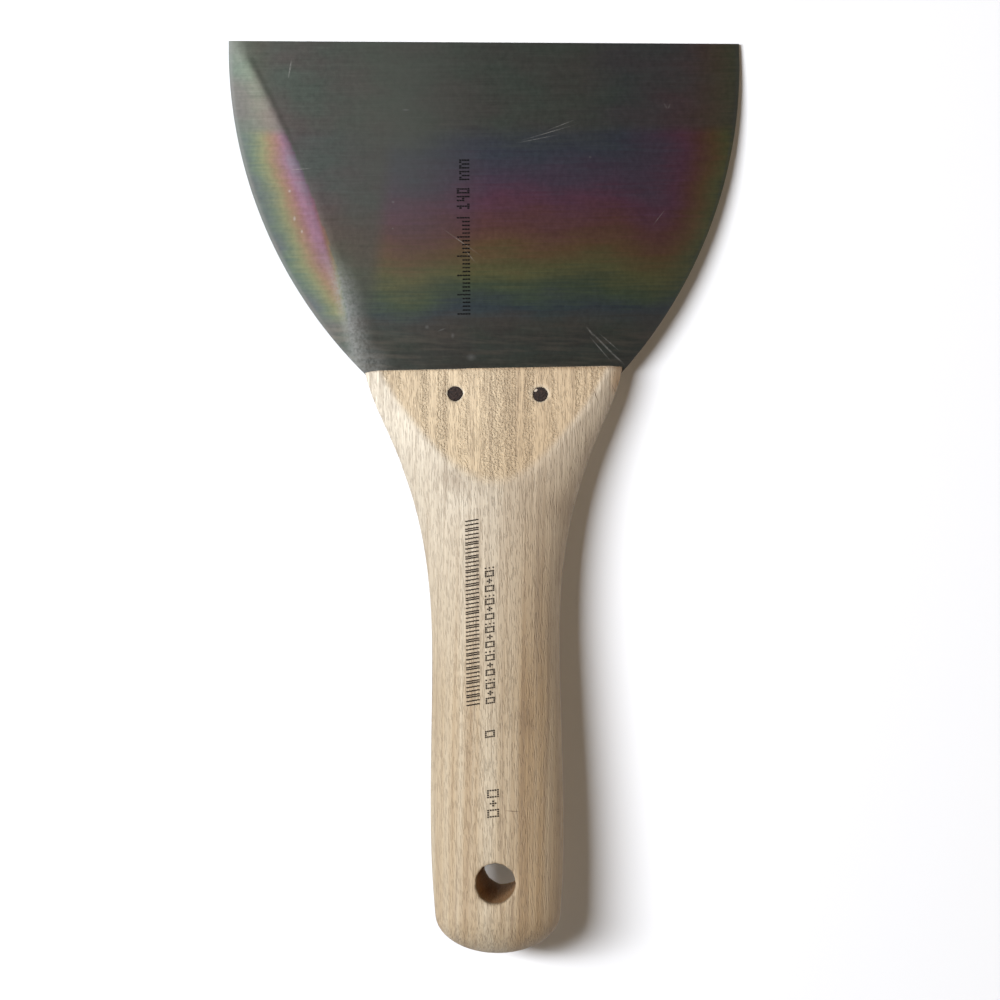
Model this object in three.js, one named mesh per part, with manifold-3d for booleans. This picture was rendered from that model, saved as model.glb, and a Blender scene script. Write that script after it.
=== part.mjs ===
// Painter's spatula: a wide spring steel blade held by two pins in the sawn mouth of a one-piece wooden handle.
// Units are millimetres. In the tool's own frame +Y runs from the butt of the handle to the working edge,
// +X to the right and +Z out of the front face. The blade's middle plane is z = 0 and the butt is y = 0.
// The exported group lays the tool down as it rests on a table: on its belly and on its working edge.

import * as THREE from 'three';
import { mergeVertices } from 'three/addons/utils/BufferGeometryUtils.js';
import Module from 'manifold-3d';

const wasm = await Module();
wasm.setup();

// Handle
const HANDLE_LENGTH = 157.5;
const HANDLE_HALF_THICKNESS = 12;
const BUTT_DEPTH = 10.8;
const BUTT_HALF_WIDTH = 16.8;
const MOUTH_SLOPE = THREE.MathUtils.degToRad(0.74);
// Half width of the handle along its length: [distance from the butt, half width, slope].
const HANDLE_STATIONS = [
  [BUTT_DEPTH, BUTT_HALF_WIDTH, 0.09],
  [36.5, 17.85, 0],
  [82, 17.2, 0],
  [124, 22.6, 0.3],
  [145.5, 31.2, 0.46],
  [HANDLE_LENGTH, 35.3, 0.24],
];

// Planed flats that thin the handle towards the blade, front and back
const FLAT_START = 123.8;
const MOUTH_HALF_THICKNESS = 5.3;
const FLAT_DIP = 0.5;

// Blade
const BLADE_THICKNESS = 1;
const SIDE_RADIUS = 127.7;
const LEFT_ARC_CENTRE = new THREE.Vector2(55.8, 246.5);
const RIGHT_ARC_CENTRE = new THREE.Vector2(-59.6, 242.4);
const EDGE_LEFT = 249;
const EDGE_RIGHT = 247;
const ROOT_LINE = 158.7;
const TANG_LEFT = -19;
const TANG_RIGHT = 21;
const TANG_END = 132;

// The left side of the blade is bent back a little beyond a crease
const CREASE_TOP = 245;
const CREASE_KNEE = new THREE.Vector2(-45.5, 197);
const WING_BEND = THREE.MathUtils.degToRad(3);

// Fastening and hanging
const PIN_DIAMETER = 3.9;
const PIN_RECESS = 0.3;
const PINS = { rivet_left: [-10.4, 150.4], rivet_right: [12.6, 150] };
const HANG_HOLE_DIAMETER = 10.6;
const HANG_HOLE_CENTRE = [-0.7, 18.4];

// Room between pieces that touch, how far a cutter runs past what it cuts, and how far above the handle
// the back of a flat's cutter starts
const GAP = 0.3;
const OVERRUN = 5;
const CUTTER_RISE = 1;

// Faceting
const ROUND_SEGMENTS = 40;
const BUTT_STEPS = 7;
const STATION_STEPS = 5;
const ARC_STEPS = 14;
const SHOULDER_STEPS = 4;
const FLAT_STEPS = 10;
const PIN_SEGMENTS = 20;
const HOLE_SEGMENTS = 32;

// Corners closer than this are one corner, and a point this near the mouth lies on it
const WELD = 1e-4;
const AT_MOUTH = 1e-3;
const KEY_DIGITS = 5;

const WOOD = { color: 0xcdb896, roughness: 0.75, metalness: 0 };
const BLADE_STEEL = { color: 0x4b4743, roughness: 0.42, metalness: 0.85 };
const PIN_STEEL = { color: 0x2a2522, roughness: 0.6, metalness: 0.7 };

/** Closed three.js geometry to a solid that can be cut. */
function toSolid(geometry) {
  const bare = geometry.clone();
  bare.deleteAttribute('normal');
  bare.deleteAttribute('uv');
  const welded = mergeVertices(bare, WELD);
  return new wasm.Manifold(new wasm.Mesh({
    numProp: 3,
    vertProperties: new Float32Array(welded.attributes.position.array),
    triVerts: new Uint32Array(welded.index.array),
  }));
}

/** A cut solid back to a three.js geometry. */
function toGeometry(solid) {
  const { vertProperties, triVerts } = solid.getMesh();
  const geometry = new THREE.BufferGeometry();
  geometry.setAttribute('position', new THREE.BufferAttribute(vertProperties, 3));
  geometry.setIndex(new THREE.BufferAttribute(triVerts, 1));
  geometry.computeVertexNormals();
  return geometry;
}

/** Smooth curve between two stations of the handle, at t from 0 to 1. */
function blend([y0, w0, m0], [y1, w1, m1], t) {
  const span = y1 - y0;
  const ease = t * t * (3 - 2 * t);
  return w0 + (w1 - w0) * ease + span * t * (1 - t) * (m0 * (1 - t) - m1 * t);
}

/** Half outline of the handle, from the butt's tip over the side to the middle of the mouth. */
function handleProfile() {
  const profile = [];
  for (let i = 0; i < BUTT_STEPS; i += 1) {
    const angle = (i / BUTT_STEPS) * (Math.PI / 2);
    profile.push(new THREE.Vector2(BUTT_HALF_WIDTH * Math.sin(angle), BUTT_DEPTH * (1 - Math.cos(angle))));
  }
  for (let i = 1; i < HANDLE_STATIONS.length; i += 1) {
    const [from, to] = [HANDLE_STATIONS[i - 1], HANDLE_STATIONS[i]];
    for (let k = 0; k < STATION_STEPS; k += 1) {
      const t = k / STATION_STEPS;
      profile.push(new THREE.Vector2(blend(from, to, t), from[0] + (to[0] - from[0]) * t));
    }
  }
  profile.push(new THREE.Vector2(HANDLE_STATIONS.at(-1)[1], HANDLE_LENGTH));
  profile.push(new THREE.Vector2(0, HANDLE_LENGTH));
  return profile;
}

/** Turned blank: round in plan, pressed to an oval section, its mouth a little out of square. */
function handleBlank() {
  const blank = new THREE.LatheGeometry(handleProfile(), ROUND_SEGMENTS);
  const position = blank.attributes.position;
  const point = new THREE.Vector3();
  for (let i = 0; i < position.count; i += 1) {
    point.fromBufferAttribute(position, i);
    const halfWidth = Math.max(Math.hypot(point.x, point.z), BUTT_HALF_WIDTH);
    const atMouth = point.y > HANDLE_LENGTH - AT_MOUTH;
    const rise = atMouth ? point.x * Math.tan(MOUTH_SLOPE) : 0;
    position.setXYZ(i, point.x, point.y + rise, point.z * (HANDLE_HALF_THICKNESS / halfWidth));
  }
  return toSolid(blank);
}

/** Solid that takes one flat off the handle; side is 1 for the front and -1 for the back. */
function flatCutter(side) {
  const start = new THREE.Vector2(FLAT_START, HANDLE_HALF_THICKNESS);
  const end = new THREE.Vector2(HANDLE_LENGTH, MOUTH_HALF_THICKNESS);
  const control = start.clone().lerp(end, 0.5).add(new THREE.Vector2(0, -2 * FLAT_DIP));
  const shape = new THREE.Shape();
  shape.moveTo(start.x, start.y);
  shape.quadraticCurveTo(control.x, control.y, end.x, end.y);
  shape.lineTo(end.x + OVERRUN, end.y);
  shape.lineTo(end.x + OVERRUN, HANDLE_HALF_THICKNESS + OVERRUN);
  shape.lineTo(start.x - OVERRUN, HANDLE_HALF_THICKNESS + OVERRUN);
  shape.lineTo(start.x - OVERRUN, HANDLE_HALF_THICKNESS + CUTTER_RISE);
  const width = 2 * (HANDLE_STATIONS.at(-1)[1] + OVERRUN);
  const cutter = new THREE.ExtrudeGeometry(shape, { depth: width, bevelEnabled: false, curveSegments: FLAT_STEPS });
  const across = new THREE.Matrix4().makeBasis(
    new THREE.Vector3(0, 1, 0),
    new THREE.Vector3(0, 0, 1),
    new THREE.Vector3(1, 0, 0),
  );
  cutter.applyMatrix4(across);
  cutter.translate(-width / 2, 0, 0);
  if (side < 0) {
    cutter.rotateY(Math.PI);
  }
  return toSolid(cutter);
}

/** Round cutter through the tool from front to back. */
function drill(diameter, [x, y], segments) {
  const length = 2 * (HANDLE_HALF_THICKNESS + OVERRUN);
  const cutter = new THREE.CylinderGeometry(diameter / 2, diameter / 2, length, segments);
  cutter.rotateX(Math.PI / 2);
  cutter.translate(x, y, 0);
  return toSolid(cutter);
}

/** Saw kerf across the whole mouth, a little deeper and wider than the blade's tang. */
function kerfCutter() {
  const bottom = TANG_END - GAP;
  const length = HANDLE_LENGTH + OVERRUN - bottom;
  const width = 2 * (HANDLE_STATIONS.at(-1)[1] + OVERRUN);
  const cutter = new THREE.BoxGeometry(width, length, BLADE_THICKNESS + 2 * GAP);
  cutter.translate(0, bottom + length / 2, 0);
  return toSolid(cutter);
}

/** Wooden handle with its flats, kerf, pin holes and hang hole. */
function makeHandle() {
  let body = handleBlank();
  body = body.subtract(flatCutter(1)).subtract(flatCutter(-1)).subtract(kerfCutter());
  for (const centre of Object.values(PINS)) {
    body = body.subtract(drill(PIN_DIAMETER + 2 * GAP, centre, PIN_SEGMENTS));
  }
  return toGeometry(body.subtract(drill(HANG_HOLE_DIAMETER, HANG_HOLE_CENTRE, HOLE_SEGMENTS)));
}

/** X of the blade's side at height y; side is -1 for the left and 1 for the right. */
function sideAt(side, y) {
  const centre = side < 0 ? LEFT_ARC_CENTRE : RIGHT_ARC_CENTRE;
  return centre.x + side * Math.sqrt(SIDE_RADIUS ** 2 - (y - centre.y) ** 2);
}

/** Height at which a side arc is x from the middle, below its centre. */
function sideHeight(side, x) {
  const centre = side < 0 ? LEFT_ARC_CENTRE : RIGHT_ARC_CENTRE;
  return centre.y - Math.sqrt(SIDE_RADIUS ** 2 - (x - centre.x) ** 2);
}

/** Points along one side of the blade, from height y0 to y1. */
function sidePoints(side, y0, y1, steps) {
  const points = [];
  for (let i = 0; i <= steps; i += 1) {
    const y = y0 + ((y1 - y0) * i) / steps;
    points.push(new THREE.Vector2(sideAt(side, y), y));
  }
  return points;
}

/** How far the blade is bent back at a point: nothing up to the crease, then in proportion. */
function sagAt(point) {
  const top = new THREE.Vector2(sideAt(-1, CREASE_TOP), CREASE_TOP);
  const foot = new THREE.Vector2(sideAt(-1, ROOT_LINE), ROOT_LINE);
  const [from, to] = point.y > CREASE_KNEE.y ? [CREASE_KNEE, top] : [foot, CREASE_KNEE];
  const crease = from.x + ((point.y - from.y) / (to.y - from.y)) * (to.x - from.x);
  const beyond = point.y > CREASE_TOP || point.y < ROOT_LINE ? 0 : Math.max(0, crease - point.x);
  return -beyond * Math.tan(WING_BEND);
}

/** The blade's outline in three panels that share their edges: bent wing, flat face and root with tang. */
function bladePanels() {
  const wingSide = sidePoints(-1, CREASE_TOP, ROOT_LINE, ARC_STEPS);
  const rightSide = sidePoints(1, ROOT_LINE, EDGE_RIGHT, ARC_STEPS);
  const face = [
    ...rightSide,
    new THREE.Vector2(sideAt(-1, EDGE_LEFT), EDGE_LEFT),
    wingSide[0],
    CREASE_KNEE,
    wingSide.at(-1),
  ];
  const root = [
    wingSide.at(-1),
    ...sidePoints(-1, ROOT_LINE, sideHeight(-1, TANG_LEFT), SHOULDER_STEPS).slice(1),
    new THREE.Vector2(TANG_LEFT, TANG_END),
    new THREE.Vector2(TANG_RIGHT, TANG_END),
    ...sidePoints(1, sideHeight(1, TANG_RIGHT), ROOT_LINE, SHOULDER_STEPS),
  ];
  return [
    { outline: [...wingSide, CREASE_KNEE], holes: [] },
    { outline: face, holes: [] },
    { outline: root, holes: Object.values(PINS).map(pinHole) },
  ];
}

/** Outline of a pin hole in the tang. */
function pinHole([x, y]) {
  return new THREE.Path().absarc(x, y, PIN_DIAMETER / 2 + GAP, 0, 2 * Math.PI).getPoints(PIN_SEGMENTS / 2).slice(1);
}

/** Sheet of one thickness through panels that share edges, bent back where sagAt says. */
function makeSheet(panels, thickness) {
  const corners = [];
  const indexOf = new Map();
  const triangles = [];
  const cornerIndex = (point) => {
    const key = `${point.x.toFixed(KEY_DIGITS)},${point.y.toFixed(KEY_DIGITS)}`;
    if (!indexOf.has(key)) {
      indexOf.set(key, corners.length);
      corners.push(point);
    }
    return indexOf.get(key);
  };
  for (const { outline, holes } of panels) {
    const rim = THREE.ShapeUtils.isClockWise(outline) ? [...outline].reverse() : outline;
    const all = [...rim, ...holes.flat()];
    for (const face of THREE.ShapeUtils.triangulateShape(rim, holes)) {
      triangles.push(face.map((i) => cornerIndex(all[i])));
    }
  }
  const count = corners.length;
  const heights = corners.map(sagAt);
  const level = (shift) => corners.flatMap((corner, i) => [corner.x, corner.y, heights[i] + shift]);
  const edges = new Set(triangles.flatMap(([a, b, c]) => [`${a},${b}`, `${b},${c}`, `${c},${a}`]));
  const index = triangles.flatMap(([a, b, c]) => [a, b, c, a + count, c + count, b + count]);
  for (const edge of edges) {
    const [a, b] = edge.split(',').map(Number);
    if (!edges.has(`${b},${a}`)) {
      index.push(a, a + count, b + count, a, b + count, b);
    }
  }
  const geometry = new THREE.BufferGeometry();
  const positions = [...level(thickness / 2), ...level(-thickness / 2)];
  geometry.setAttribute('position', new THREE.Float32BufferAttribute(positions, 3));
  geometry.setIndex(index);
  geometry.computeVertexNormals();
  return geometry;
}

/** Half thickness of the handle on its flat at height y. */
function flatHalfThickness(y) {
  const t = (y - FLAT_START) / (HANDLE_LENGTH - FLAT_START);
  const chord = HANDLE_HALF_THICKNESS + (MOUTH_HALF_THICKNESS - HANDLE_HALF_THICKNESS) * t;
  return chord - 4 * FLAT_DIP * t * (1 - t);
}

/** Steel pin with worn ends, set a little below both flats. */
function makePin(y) {
  const radius = PIN_DIAMETER / 2;
  const half = flatHalfThickness(y) - PIN_RECESS;
  const profile = [
    [0, -half],
    [radius - GAP, -half],
    [radius, -half + GAP],
    [radius, half - GAP],
    [radius - GAP, half],
    [0, half],
  ].map(([r, z]) => new THREE.Vector2(r, z));
  return new THREE.LatheGeometry(profile, PIN_SEGMENTS).rotateX(Math.PI / 2);
}

/** A named mesh with its own material. */
function piece(name, geometry, finish) {
  const mesh = new THREE.Mesh(geometry, new THREE.MeshStandardMaterial(finish));
  mesh.name = name;
  return mesh;
}

/** Lays the tool on its belly and its working edge, its box centred on the origin and standing on z = 0. */
function layDown(tool) {
  const rise = HANDLE_HALF_THICKNESS - BLADE_THICKNESS / 2;
  tool.rotation.x = -Math.atan2(rise, EDGE_LEFT - FLAT_START);
  const group = new THREE.Group();
  group.add(tool);
  group.updateMatrixWorld(true);
  const box = new THREE.Box3().setFromObject(group, true);
  const middle = box.getCenter(new THREE.Vector3());
  tool.position.set(-middle.x, -middle.y, -box.min.z);
  return group;
}

const tool = new THREE.Group();
tool.add(piece('handle', makeHandle(), WOOD));
tool.add(piece('blade', makeSheet(bladePanels(), BLADE_THICKNESS), BLADE_STEEL));
for (const [name, [x, y]] of Object.entries(PINS)) {
  const pin = piece(name, makePin(y), PIN_STEEL);
  pin.position.set(x, y, 0);
  tool.add(pin);
}

export default layDown(tool);
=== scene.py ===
"""Looks of a wooden-handled painter's spatula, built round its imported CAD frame.

The tool's own frame, in millimetres, has +Y from the butt of the handle to the working edge, +X to the
right and +Z out of the front face, with the blade's middle plane at z = 0. Every piece is modelled there
and then laid down with the CAD, whose two pins say where the tool's frame lies in the row's.
"""

import logging
import math
from dataclasses import dataclass
from enum import Enum
from typing import Callable, Iterator, Sequence

import bmesh
import bpy
from mathutils import Matrix, Vector

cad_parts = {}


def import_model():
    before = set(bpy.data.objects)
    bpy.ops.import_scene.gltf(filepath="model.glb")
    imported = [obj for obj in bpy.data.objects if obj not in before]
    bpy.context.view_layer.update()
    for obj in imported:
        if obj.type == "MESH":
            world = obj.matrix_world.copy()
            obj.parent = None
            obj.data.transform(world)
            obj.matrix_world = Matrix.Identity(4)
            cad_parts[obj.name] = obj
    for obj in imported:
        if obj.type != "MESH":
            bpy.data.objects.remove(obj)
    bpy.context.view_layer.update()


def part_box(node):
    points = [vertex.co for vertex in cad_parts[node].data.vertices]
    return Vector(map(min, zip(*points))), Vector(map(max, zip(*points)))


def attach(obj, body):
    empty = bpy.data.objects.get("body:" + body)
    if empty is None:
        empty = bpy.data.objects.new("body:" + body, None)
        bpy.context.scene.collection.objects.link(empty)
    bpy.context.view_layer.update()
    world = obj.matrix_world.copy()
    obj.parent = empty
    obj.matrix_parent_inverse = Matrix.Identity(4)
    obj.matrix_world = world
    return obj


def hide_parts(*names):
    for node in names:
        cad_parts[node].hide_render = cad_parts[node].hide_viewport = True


LOG = logging.getLogger("spatula")

MM = 0.001
BODY = "root"
PIN_SUNK = 0.3

# Where nearly all of a noise texture's values lie.
GRAIN = (0.3, 0.7)


# ---------------------------------------------------------------- where the tool lies


@dataclass(frozen=True)
class Bed:
    """How the tool lies in the row's frame: tipped about X and moved, worked out from the CAD's pins.

    Args:
        pins: the pins' centres in the tool's frame, by CAD node, in millimetres.
        rise: how much further the belly of the handle stands out at the back than the blade, in millimetres.
        run: how far apart the two touch the floor.
    """

    pins: dict[str, tuple[float, float]]
    rise: float = 11.5
    run: float = 249.0 - 123.8

    def matrix(self) -> Matrix:
        """Takes a point in the tool's frame, in millimetres, to the row's frame, in metres.

        Returns:
            The 4 by 4 matrix.
        """
        turn = Matrix.Rotation(-math.atan2(self.rise, self.run), 4, "X") @ Matrix.Scale(MM, 4)
        shift = Vector()
        for node, (x, y) in self.pins.items():
            low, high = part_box(node)
            shift += ((low + high) / 2 - turn @ Vector((x, y, 0))) / len(self.pins)
        return Matrix.Translation(shift) @ turn


# ---------------------------------------------------------------- modelling by operators


def only(piece: bpy.types.Object) -> None:
    """Makes a piece the only one selected, and active.

    Args:
        piece: the object.
    """
    bpy.ops.object.select_all(action="DESELECT")
    piece.select_set(True)
    bpy.context.view_layer.objects.active = piece


def named(name: str) -> bpy.types.Object:
    """Names the object that an operator has just added, and applies its turn and scale.

    Args:
        name: the piece's name.

    Returns:
        The object.
    """
    piece = bpy.context.object
    piece.name = name
    piece.data.name = name
    only(piece)
    bpy.ops.object.transform_apply(location=True, rotation=True, scale=True)
    return piece


def pick(piece: bpy.types.Object, wanted: Callable[[Vector], bool]) -> int:
    """Selects vertices of the piece in edit mode by their place.

    Args:
        piece: the object in edit mode.
        wanted: says whether a vertex at a place is selected.

    Returns:
        How many are selected.
    """
    mesh = bmesh.from_edit_mesh(piece.data)
    count = 0
    for vertex in mesh.verts:
        vertex.select = bool(wanted(vertex.co))
        count += vertex.select
    mesh.select_flush_mode()
    mesh.select_flush(True)
    bmesh.update_edit_mesh(piece.data)
    return count


def use_modifier(piece: bpy.types.Object, kind: str, **settings: object) -> None:
    """Adds a modifier with its settings and applies it.

    Args:
        piece: the object.
        kind: the modifier's type, such as "BOOLEAN".
        settings: its properties by name.
    """
    only(piece)
    modifier = piece.modifiers.new(kind.title(), kind)
    for key, value in settings.items():
        setattr(modifier, key, value)
    bpy.ops.object.modifier_apply(modifier=modifier.name)


def cut(piece: bpy.types.Object, cutter: bpy.types.Object) -> None:
    """Cuts one closed shape out of another and removes the cutter.

    Args:
        piece: what is cut.
        cutter: what cuts it.
    """
    use_modifier(piece, "BOOLEAN", object=cutter, operation="DIFFERENCE", solver="EXACT")
    bpy.data.objects.remove(cutter)


def smooth(piece: bpy.types.Object, angle: float = 40) -> None:
    """Shades a piece smooth except at edges sharper than an angle.

    Args:
        piece: the object.
        angle: in degrees.
    """
    only(piece)
    bpy.ops.object.shade_smooth_by_angle(angle=math.radians(angle))


@dataclass(frozen=True)
class Section:
    """One cross-section of a lofted shape, square to Y, in millimetres."""

    y: float
    half_width: float
    half_thickness: float
    x: float = 0.0


def loft(piece: bpy.types.Object, sections: Sequence[Section]) -> None:
    """Pulls a flat face through cross-sections, each one an extrude and a resize.

    Args:
        piece: a flat face that already has the first section's place and size.
        sections: the cross-sections in order.
    """
    only(piece)
    bpy.ops.object.mode_set(mode="EDIT")
    bpy.ops.mesh.select_all(action="SELECT")
    for last, this in zip(sections, sections[1:]):
        move = (this.x - last.x, this.y - last.y, 0)
        bpy.ops.mesh.extrude_region_move(TRANSFORM_OT_translate={"value": move})
        grow = (this.half_width / last.half_width, 1, this.half_thickness / last.half_thickness)
        bpy.ops.transform.resize(value=grow, center_override=(this.x, this.y, 0))
    bpy.ops.mesh.select_all(action="SELECT")
    bpy.ops.mesh.normals_make_consistent(inside=False)
    bpy.ops.object.mode_set(mode="OBJECT")


def keep(piece: bpy.types.Object, name: str, value: Callable[[Vector], float]) -> None:
    """Keeps a number at each of the mesh's points, for its material to read.

    Args:
        piece: the object, in the tool's frame.
        name: the attribute's name.
        value: gives the number at a place.
    """
    layer = piece.data.attributes.new(name, "FLOAT", "POINT")
    layer.data.foreach_set("value", [value(vertex.co) for vertex in piece.data.vertices])


def lay_uv(piece: bpy.types.Object, name: str, size: float) -> None:
    """Lays a flat UV map over a piece, u along Y.

    Args:
        piece: the object, in the tool's frame.
        name: the map's name.
        size: what the map's width is, in millimetres.
    """
    layer = piece.data.uv_layers.new(name=name)
    for loop, place in zip(piece.data.loops, layer.uv):
        co = piece.data.vertices[loop.vertex_index].co
        place.vector = (co.y / size - 0.8, co.x / size + 0.5)


def ramp(value: float, start: float, end: float) -> float:
    """Eases from 0 at start to 1 at end, which may lie below it.

    Args:
        value: where to read it.
        start: where it leaves 0.
        end: where it comes to 1.

    Returns:
        From 0 to 1.
    """
    t = min(1.0, max(0.0, (value - start) / (end - start)))
    return t * t * (3 - 2 * t)


def trim(piece: bpy.types.Object, point: Sequence[float], normal: Sequence[float]) -> None:
    """Cuts off what lies beyond a plane and closes the cut.

    Args:
        piece: the object.
        point: a point on the plane.
        normal: the plane's normal, towards what is cut off.
    """
    only(piece)
    bpy.ops.object.mode_set(mode="EDIT")
    bpy.ops.mesh.select_all(action="SELECT")
    bpy.ops.mesh.bisect(plane_co=point, plane_no=normal, use_fill=True, clear_outer=True)
    bpy.ops.object.mode_set(mode="OBJECT")


def steps(start: float, end: float, pitch: float) -> Iterator[float]:
    """Even steps from start to end, both included.

    Args:
        start: the first value.
        end: the last value.
        pitch: about how far apart they are.

    Returns:
        The values in order.
    """
    count = max(1, round(abs(end - start) / pitch))
    return (start + (end - start) * i / count for i in range(count + 1))


# ---------------------------------------------------------------- surfaces by nodes


def linear(colour: str) -> tuple[float, float, float, float]:
    """Turns an sRGB hex colour to linear.

    Args:
        colour: six hex digits.

    Returns:
        Red, green, blue and an alpha of 1.
    """
    parts = [int(colour[i : i + 2], 16) / 255 for i in (0, 2, 4)]
    return (*(c / 12.92 if c <= 0.04045 else ((c + 0.055) / 1.055) ** 2.4 for c in parts), 1.0)


@dataclass(frozen=True)
class Mark:
    """Soft elliptical patch on a surface, in the tool's frame: millimetres, and degrees about Z."""

    centre: tuple[float, float, float]
    radii: tuple[float, float, float]
    turn: float = 0.0


@dataclass(frozen=True)
class Coat:
    """Colour laid over what is under it, as strongly as a value says.

    Args:
        value: a socket, or the name of a number that the mesh keeps.
        colour: sRGB hex, or a socket.
        strength: how much it covers at the two ends of span.
        span: the values between which its strength changes.
    """

    value: bpy.types.NodeSocket | str
    colour: bpy.types.NodeSocket | str
    strength: tuple[float, float] = (0, 1)
    span: tuple[float, float] = (0, 1)


class Nodes:
    """A node tree under construction."""

    def __init__(self, tree: bpy.types.NodeTree) -> None:
        """Takes up a tree."""
        self.tree = tree

    def add(
        self,
        kind: str,
        inputs: dict[str | int, object] | None = None,
        output: str | int = 0,
        stops: Sequence[tuple[float, str]] = (),
        **settings: object,
    ) -> bpy.types.NodeSocket:
        """Adds a node with its settings and links.

        Args:
            kind: the node's type.
            inputs: by name or number, a value or a socket to link from.
            output: which of its results is given.
            stops: a colour ramp's places and colours.
            settings: the node's properties by name.

        Returns:
            The result.
        """
        made = self.tree.nodes.new(kind)
        for key, value in settings.items():
            setattr(made, key, value)
        for i, (at, colour) in enumerate(stops):
            stop = made.color_ramp.elements[i] if i < 2 else made.color_ramp.elements.new(at)
            stop.position = at
            stop.color = linear(colour)
        self.fill(made, inputs or {})
        return made.outputs[output]

    def fill(self, node: bpy.types.Node, inputs: dict[str | int, object]) -> None:
        """Sets or links a node's inputs.

        Args:
            node: the node.
            inputs: by name or number, a value or a socket to link from.
        """
        for key, value in inputs.items():
            if isinstance(value, bpy.types.NodeSocket):
                self.tree.links.new(value, node.inputs[key])
            else:
                node.inputs[key].default_value = value


class Surface(Nodes):
    """A material under construction."""

    def __init__(self, name: str, place: Matrix) -> None:
        """Starts a material with a Principled shader.

        Args:
            name: the material's name.
            place: the bed's matrix, which the tool's own coordinates are read back through.
        """
        self.material = bpy.data.materials.new(name)
        self.material.use_nodes = True
        super().__init__(self.material.node_tree)
        back = place.inverted()
        self.place = self.add(
            "ShaderNodeMapping",
            {
                "Vector": self.add("ShaderNodeTexCoord", output="Object"),
                "Location": back.to_translation(),
                "Rotation": back.to_euler(),
                "Scale": back.to_scale(),
            },
        )

    def grain(
        self, per_mm: tuple[float, float, float], detail: float = 2, turn: float = 0, offset: float = 0
    ) -> bpy.types.NodeSocket:
        """Noise with its own coarseness along each axis of the tool.

        Args:
            per_mm: grains to the millimetre along X, Y and Z.
            detail: the noise's octaves.
            turn: turn about Z, in degrees.
            offset: moves the noise to another part of itself.

        Returns:
            A value that lies mostly within GRAIN.
        """
        turned = self.add("ShaderNodeMapping", {"Vector": self.place, "Rotation": (0, 0, math.radians(turn))})
        spread = self.add("ShaderNodeMapping", {"Vector": turned, "Location": (offset,) * 3, "Scale": per_mm})
        return self.add("ShaderNodeTexNoise", {"Vector": spread, "Scale": 1.0, "Detail": detail})

    def marks(self, marks: Sequence[Mark]) -> bpy.types.NodeSocket:
        """Lays soft patches.

        Args:
            marks: the patches.

        Returns:
            The highest of them at each point, each 1 at its middle and 0 at its rim.
        """
        total: object = 0.0
        for mark in marks:
            turned = self.add(
                "ShaderNodeMapping",
                {
                    "Vector": self.place,
                    "Location": mark.centre,
                    "Rotation": (0, 0, math.radians(mark.turn)),
                    "Scale": mark.radii,
                },
                vector_type="TEXTURE",
            )
            patch = self.add("ShaderNodeTexGradient", {0: turned}, "Fac", gradient_type="SPHERICAL")
            total = self.add("ShaderNodeMath", {0: total, 1: patch}, operation="MAXIMUM")
        return total

    def scaled(self, values: dict[bpy.types.NodeSocket, tuple[float, float]]) -> bpy.types.NodeSocket:
        """Product of some grains, each taken from GRAIN to a range of its own.

        Args:
            values: the range of each.

        Returns:
            The product.
        """
        total: object = 1.0
        for value, (low, high) in values.items():
            part = self.add("ShaderNodeMapRange", {0: value, 1: GRAIN[0], 2: GRAIN[1], 3: low, 4: high})
            total = self.add("ShaderNodeMath", {0: total, 1: part}, operation="MULTIPLY")
        return total

    def coats(self, first: bpy.types.NodeSocket | str, *coats: Coat) -> bpy.types.NodeSocket:
        """Lays coats of colour over a first one.

        Args:
            first: the colour under them all.
            coats: what lies over it, in order.

        Returns:
            The colour that shows.
        """
        tone = linear(first) if isinstance(first, str) else first
        for coat in coats:
            value = coat.value
            if isinstance(value, str):
                value = self.add("ShaderNodeAttribute", output="Fac", attribute_name=value)
            amount = self.add(
                "ShaderNodeMapRange",
                {0: value, 1: coat.span[0], 2: coat.span[1], 3: coat.strength[0], 4: coat.strength[1]},
            )
            colour = linear(coat.colour) if isinstance(coat.colour, str) else coat.colour
            tone = self.add("ShaderNodeMix", {0: amount, 6: tone, 7: colour}, 2, data_type="RGBA")
        return tone

    def finish(
        self, relief: bpy.types.NodeSocket | None = None, depth: float = 0.0, **inputs: object
    ) -> bpy.types.Material:
        """Sets or links the shader's inputs.

        Args:
            relief: a height from 0 to 1, or nothing where the surface is even.
            depth: what a height of 1 is, in millimetres.
            inputs: the shader's inputs by name, with underscores for spaces.

        Returns:
            The material.
        """
        named_inputs = {key.replace("_", " "): value for key, value in inputs.items()}
        if relief is not None:
            lift = {"Height": relief, "Distance": depth * MM, "Strength": 1.0}
            named_inputs["Normal"] = self.add("ShaderNodeBump", lift)
        self.fill(self.tree.nodes["Principled BSDF"], named_inputs)
        return self.material


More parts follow.
